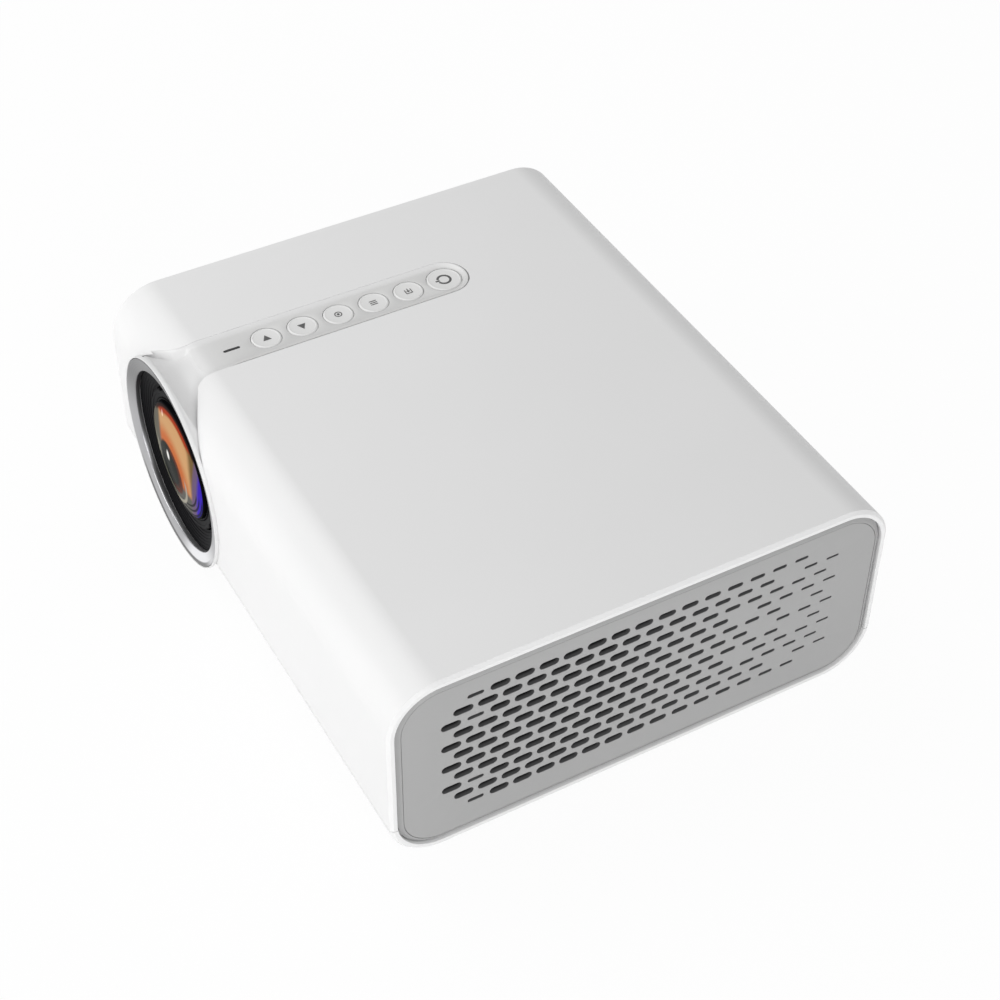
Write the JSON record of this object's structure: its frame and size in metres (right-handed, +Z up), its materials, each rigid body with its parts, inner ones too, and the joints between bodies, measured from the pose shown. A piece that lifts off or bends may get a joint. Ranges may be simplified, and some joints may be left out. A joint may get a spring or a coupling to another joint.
{
  "type": "projector with disc player",
  "caption": "Low white video projector with rounded edges, a round lens hood, a top key strip, vented ends and a rear tray disc drive.",
  "frame": {"origin": "under the middle of the object, on the surface that its feet stand on", "axes": "+X along the body to its vented end, -Y out of the lens, +Z up"},
  "size_m": [0.24, 0.2014, 0.0876],
  "materials": {
    "casing_white": "fine satin white",
    "hood_white": "fine satin white",
    "key_white": "satin white",
    "grille_grey": "satin grey",
    "trim_silver": "bright satin",
    "lens_black": "matt black",
    "lens_glass": "coated",
    "window_black": "gloss",
    "socket_black": "matt",
    "socket_steel": "plated",
    "board_green": "solder mask",
    "switch_black": "matt",
    "engine_black": "matt",
    "panel_dark": "gloss",
    "lamp_white": "satin",
    "sink_aluminium": "extruded",
    "fan_black": "matt",
    "transformer_yellow": "taped",
    "capacitor_sleeve": "sleeved",
    "speaker_black": "matt",
    "drive_steel": "zinc plated sheet",
    "tray_black": "satin",
    "bezel_white": "satin white",
    "foot_rubber": "matt",
    "screw_steel": "black zinc",
    "insert_brass": "turned"
  },
  "bodies": {
    "root": {"upper_shell": "casing_white", "bottom_cover": "casing_white", "lens_hood": "hood_white", "right_grille": "grille_grey", "left_grille": "grille_grey", "trim_ring": "trim_silver", "lens_baffle": "lens_black", "condenser_lens": "lens_glass", "fresnel_lens": "lens_glass", "status_window": "window_black", "ir_window": "window_black", "io_panel": "socket_black", "power_inlet": "socket_black", "av_jacks": "socket_black", "hdmi_socket": "socket_steel", "usb_sockets": "socket_steel", "main_board": "board_green", "power_supply_board": "board_green", "keypad_board": "board_green", "tact_switches": "switch_black", "engine_housing": "engine_black", "engine_cover": "engine_black", "lcd_panel": "panel_dark", "led_module": "lamp_white", "heat_sink": "sink_aluminium", "processor_heatsink": "sink_aluminium", "intake_fan_frame": "fan_black", "exhaust_fan_frame": "fan_black", "transformer": "transformer_yellow", "capacitors": "capacitor_sleeve", "speaker": "speaker_black", "drive_chassis": "drive_steel", "drive_cover": "drive_steel", "rubber_feet": "foot_rubber", "case_screws": "screw_steel", "tripod_insert": "insert_brass"},
    "key_power": {"key_power": "key_white"},
    "key_source": {"key_source": "key_white"},
    "key_menu": {"key_menu": "key_white"},
    "key_select": {"key_select": "key_white"},
    "key_down": {"key_down": "key_white"},
    "key_up": {"key_up": "key_white"},
    "focus_ring": {"focus_ring": "lens_black"},
    "lens_barrel": {"lens_barrel": "lens_black", "front_lens": "lens_glass", "rear_lens": "lens_glass"},
    "tray": {"disc_tray": "tray_black", "tray_bezel": "bezel_white", "spindle_motor": "drive_steel", "sled_guide_rods": "drive_steel"},
    "tray_rails": {"tray_rails": "drive_steel"},
    "spindle_hub": {"spindle_hub": "tray_black"},
    "pickup_sled": {"pickup_sled": "tray_black"},
    "eject_button": {"eject_button": "bezel_white"},
    "intake_fan_rotor": {"intake_fan_rotor": "fan_black"},
    "exhaust_fan_rotor": {"exhaust_fan_rotor": "fan_black"},
    "foot_pad": {"foot_pad": "foot_rubber"},
    "foot_screw": {"foot_screw": "screw_steel"}
  },
  "joints": [
    {"name": "key_power_press", "type": "slide", "parent": "root", "child": "key_power", "axis": [0, 0, -1], "range_m": [0, 0.0006], "stiffness_N_per_m": 400},
    {"name": "key_source_press", "type": "slide", "parent": "root", "child": "key_source", "axis": [0, 0, -1], "range_m": [0, 0.0006], "stiffness_N_per_m": 400},
    {"name": "key_menu_press", "type": "slide", "parent": "root", "child": "key_menu", "axis": [0, 0, -1], "range_m": [0, 0.0006], "stiffness_N_per_m": 400},
    {"name": "key_select_press", "type": "slide", "parent": "root", "child": "key_select", "axis": [0, 0, -1], "range_m": [0, 0.0006], "stiffness_N_per_m": 400},
    {"name": "key_down_press", "type": "slide", "parent": "root", "child": "key_down", "axis": [0, 0, -1], "range_m": [0, 0.0006], "stiffness_N_per_m": 400},
    {"name": "key_up_press", "type": "slide", "parent": "root", "child": "key_up", "axis": [0, 0, -1], "range_m": [0, 0.0006], "stiffness_N_per_m": 400},
    {"name": "focus_turn", "type": "hinge", "parent": "root", "child": "focus_ring", "pos_m": [-0.0642, -0.09605, 0.0438], "axis": [0, 1, 0], "range_deg": [0, 180.1]},
    {"name": "focus_slide", "type": "slide", "parent": "root", "child": "lens_barrel", "axis": [0, 1, 0], "range_m": [0, 0.003]},
    {"name": "tray_slide", "type": "slide", "parent": "root", "child": "tray", "axis": [0, 1, 0], "range_m": [0, 0.122]},
    {"name": "rail_slide", "type": "slide", "parent": "root", "child": "tray_rails", "axis": [0, 1, 0], "range_m": [0, 0.061]},
    {"name": "disc_spin", "type": "hinge", "parent": "tray", "child": "spindle_hub", "pos_m": [0.049, 0.0352, 0.0326], "axis": [0, 0, 1], "continuous": true},
    {"name": "sled_slide", "type": "slide", "parent": "tray", "child": "pickup_sled", "axis": [1, 0, 0], "range_m": [0, 0.029]},
    {"name": "eject_press", "type": "slide", "parent": "tray", "child": "eject_button", "axis": [0, -1, 0], "range_m": [0, 0.0008], "stiffness_N_per_m": 400},
    {"name": "intake_fan_spin", "type": "hinge", "parent": "root", "child": "intake_fan_rotor", "pos_m": [0.1095, -0.062, 0.0456], "axis": [1, 0, 0], "continuous": true},
    {"name": "exhaust_fan_spin", "type": "hinge", "parent": "root", "child": "exhaust_fan_rotor", "pos_m": [-0.1095, 0.064, 0.0456], "axis": [1, 0, 0], "continuous": true},
    {"name": "foot_extend", "type": "slide", "parent": "root", "child": "foot_pad", "axis": [0, 0, -1], "range_m": [0, 0.012]},
    {"name": "foot_screw_turn", "type": "hinge", "parent": "foot_pad", "child": "foot_screw", "pos_m": [-0.014, -0.066, 0.0036], "axis": [0, 0, -1], "range_deg": [0, 1440.1]}
  ],
  "couplings": [
    {"joint": "focus_turn", "follows": "focus_slide", "rad_per_m": 1047.2},
    {"joint": "rail_slide", "follows": "tray_slide", "ratio": 0.5},
    {"joint": "foot_screw_turn", "follows": "foot_extend", "rad_per_m": 2094.4}
  ]
}
